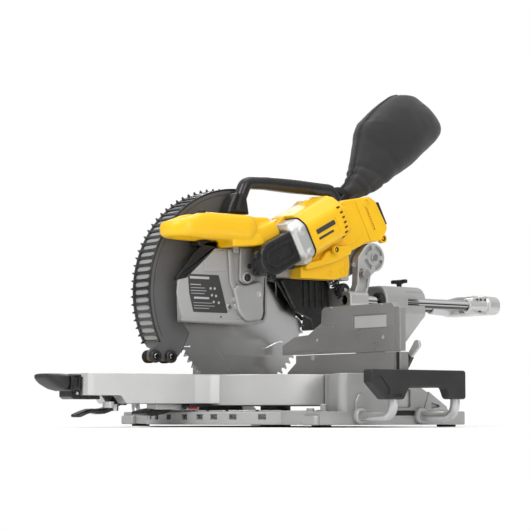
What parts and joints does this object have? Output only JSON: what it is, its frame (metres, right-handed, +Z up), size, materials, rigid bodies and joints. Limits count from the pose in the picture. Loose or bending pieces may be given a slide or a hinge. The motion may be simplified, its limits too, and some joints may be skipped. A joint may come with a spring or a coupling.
{
  "type": "sliding compound miter saw",
  "caption": "Sliding compound miter saw: toothed disc blade under a swinging guard on a tilted head that slides on twin rails over a turning table with split fences, dust bag and carry grips.",
  "frame": {"origin": "on the miter pivot axis, in the plane of the blade, at the level of the rubber feet's undersides", "axes": "+X to the operator's right, +Y away from the operator along the slide rails, +Z up"},
  "size_m": [0.813, 1.011, 0.655],
  "materials": {
    "cast_silver": "fine cast, satin paint",
    "table_aluminium": "machined top, cast sides",
    "yellow_shell": "satin moulded",
    "kerf_yellow": "moulded",
    "black_plastic": "fine textured",
    "guard_grey": "satin",
    "rubber_black": "matt",
    "pointer_red": "gloss",
    "tube_steel": "satin",
    "rail_chrome": "polished",
    "blade_steel": "ground",
    "winding_copper": "varnished",
    "bag_cloth": "woven polyester"
  },
  "bodies": {
    "base": {"base_casting": "cast_silver", "foot_pad_front_left": "rubber_black", "foot_pad_front_right": "rubber_black", "foot_pad_rear_left": "rubber_black", "foot_pad_rear_right": "rubber_black", "miter_scale_plate": "tube_steel", "right_lower_fence": "cast_silver", "left_lower_fence": "cast_silver", "right_carry_grip": "black_plastic", "left_carry_grip": "black_plastic", "right_carry_tube": "tube_steel", "left_carry_tube": "tube_steel"},
    "right_fence": {"right_upper_fence": "cast_silver"},
    "left_fence": {"left_upper_fence": "cast_silver"},
    "right_fence_knob_body": {"right_fence_knob": "black_plastic"},
    "left_fence_knob_body": {"left_fence_knob": "black_plastic"},
    "turntable": {"turntable": "table_aluminium", "kerf_plate": "kerf_yellow", "miter_lock_housing": "black_plastic", "miter_grip": "black_plastic", "miter_pointer": "pointer_red", "bevel_pivot_bolt": "tube_steel"},
    "miter_lock_lever_body": {"miter_lock_lever": "black_plastic"},
    "miter_detent_lever_body": {"miter_detent_lever": "black_plastic"},
    "bevel_arm": {"turret_housing": "cast_silver", "rail_bushing_right": "black_plastic", "rail_bushing_left": "black_plastic"},
    "bevel_lock_lever_body": {"bevel_lock_lever": "black_plastic"},
    "rail_lock_knob_body": {"rail_lock_knob": "black_plastic"},
    "carriage": {"rail_right": "rail_chrome", "rail_left": "rail_chrome", "rail_end_cap": "cast_silver", "carriage_yoke": "cast_silver", "chop_pivot_pin": "tube_steel"},
    "head_lock_pin_body": {"head_lock_pin": "tube_steel"},
    "head": {"gear_case": "cast_silver", "gear_cover": "cast_silver", "upper_guard": "black_plastic", "drive_belt": "rubber_black", "motor_stator": "winding_copper", "motor_housing": "yellow_shell", "motor_collar": "cast_silver", "motor_nose_cap": "black_plastic", "battery_mount": "yellow_shell", "main_handle": "yellow_shell", "carry_handle": "black_plastic", "dust_duct": "black_plastic", "dust_bag": "bag_cloth"},
    "lower_guard": {"lower_guard": "guard_grey"},
    "guard_roller_front_body": {"guard_roller_front": "rubber_black"},
    "guard_roller_rear_body": {"guard_roller_rear": "rubber_black"},
    "blade": {"saw_blade": "blade_steel", "arbor_shaft": "blade_steel", "blade_bolt": "blade_steel"},
    "intermediate_shaft_body": {"intermediate_shaft": "blade_steel"},
    "rotor": {"motor_rotor": "blade_steel"},
    "trigger_body": {"trigger": "black_plastic"},
    "lock_off_button_body": {"lock_off_button": "black_plastic"},
    "spindle_lock_button_body": {"spindle_lock_button": "black_plastic"}
  },
  "joints": [
    {"name": "miter", "type": "hinge", "parent": "base", "child": "turntable", "pos_m": [0, 0, 0.093], "axis": [0, 0, -1], "range_deg": [-50, 50]},
    {"name": "miter_lock_lever", "type": "hinge", "parent": "turntable", "child": "miter_lock_lever_body", "pos_m": [0, -0.344, 0.045], "axis": [-1, 0, 0], "range_deg": [0, 10]},
    {"name": "miter_detent_lever", "type": "hinge", "parent": "turntable", "child": "miter_detent_lever_body", "pos_m": [0, -0.252, 0.0345], "axis": [1, 0, 0], "range_deg": [0, 8]},
    {"name": "bevel", "type": "hinge", "parent": "turntable", "child": "bevel_arm", "pos_m": [0, 0.232, 0.093], "axis": [0, -1, 0], "range_deg": [0, 45]},
    {"name": "bevel_lock_lever", "type": "hinge", "parent": "bevel_arm", "child": "bevel_lock_lever_body", "pos_m": [0, 0.296, 0.093], "axis": [0, -1, 0], "range_deg": [-25, 25]},
    {"name": "head_slide", "type": "slide", "parent": "bevel_arm", "child": "carriage", "axis": [0, -1, 0], "range_m": [0, 0.163]},
    {"name": "rail_lock_knob", "type": "hinge", "parent": "bevel_arm", "child": "rail_lock_knob_body", "pos_m": [0.02, 0.288, 0.27], "axis": [0, 0, 1], "range_deg": [0, 180]},
    {"name": "head_lock_pin", "type": "slide", "parent": "carriage", "child": "head_lock_pin_body", "axis": [1, 0, 0], "range_m": [0, 0.012]},
    {"name": "chop", "type": "hinge", "parent": "carriage", "child": "head", "pos_m": [0, 0.182, 0.319], "axis": [-1, 0, 0], "range_deg": [0, 48]},
    {"name": "lower_guard_swing", "type": "hinge", "parent": "head", "child": "lower_guard", "pos_m": [0, -0.0833, 0.2145], "axis": [1, 0, 0], "range_deg": [0, 115]},
    {"name": "blade_spin", "type": "hinge", "parent": "head", "child": "blade", "pos_m": [0, -0.0833, 0.2145], "axis": [1, 0, 0], "continuous": true},
    {"name": "intermediate_spin", "type": "hinge", "parent": "head", "child": "intermediate_shaft_body", "pos_m": [0.06, -0.07944, 0.30703], "axis": [1, 0, 0], "continuous": true},
    {"name": "rotor_spin", "type": "hinge", "parent": "head", "child": "rotor", "pos_m": [0.078, 0.02523, 0.36151], "axis": [0, 0.887, 0.4617], "continuous": true},
    {"name": "guard_roller_front_spin", "type": "hinge", "parent": "lower_guard", "child": "guard_roller_front_body", "pos_m": [0.01, -0.289, 0.124], "axis": [1, 0, 0], "continuous": true},
    {"name": "guard_roller_rear_spin", "type": "hinge", "parent": "lower_guard", "child": "guard_roller_rear_body", "pos_m": [0.01, -0.256, 0.124], "axis": [1, 0, 0], "continuous": true},
    {"name": "trigger", "type": "slide", "parent": "head", "child": "trigger_body", "axis": [1, 0, 0], "range_m": [0, 0.005]},
    {"name": "lock_off_button", "type": "slide", "parent": "head", "child": "lock_off_button_body", "axis": [0, 0, -1], "range_m": [0, 0.002]},
    {"name": "spindle_lock_button", "type": "slide", "parent": "head", "child": "spindle_lock_button_body", "axis": [-1, 0, 0], "range_m": [0, 0.003]},
    {"name": "right_fence_slide", "type": "slide", "parent": "base", "child": "right_fence", "axis": [1, 0, 0], "range_m": [0, 0.06]},
    {"name": "left_fence_slide", "type": "slide", "parent": "base", "child": "left_fence", "axis": [-1, 0, 0], "range_m": [0, 0.125]},
    {"name": "right_fence_knob", "type": "hinge", "parent": "base", "child": "right_fence_knob_body", "pos_m": [0.24, 0.02, 0.114], "axis": [0, 1, 0], "range_deg": [0, 180]},
    {"name": "left_fence_knob", "type": "hinge", "parent": "base", "child": "left_fence_knob_body", "pos_m": [-0.24, 0.02, 0.114], "axis": [0, 1, 0], "range_deg": [0, 180]}
  ],
  "couplings": [
    {"joint": "lower_guard_swing", "follows": "chop", "ratio": 2.3934},
    {"joint": "left_fence_slide", "follows": "bevel", "m_per_rad": 0.159},
    {"joint": "intermediate_spin", "follows": "blade_spin", "ratio": 1.6},
    {"joint": "rotor_spin", "follows": "blade_spin", "ratio": -3.7}
  ]
}
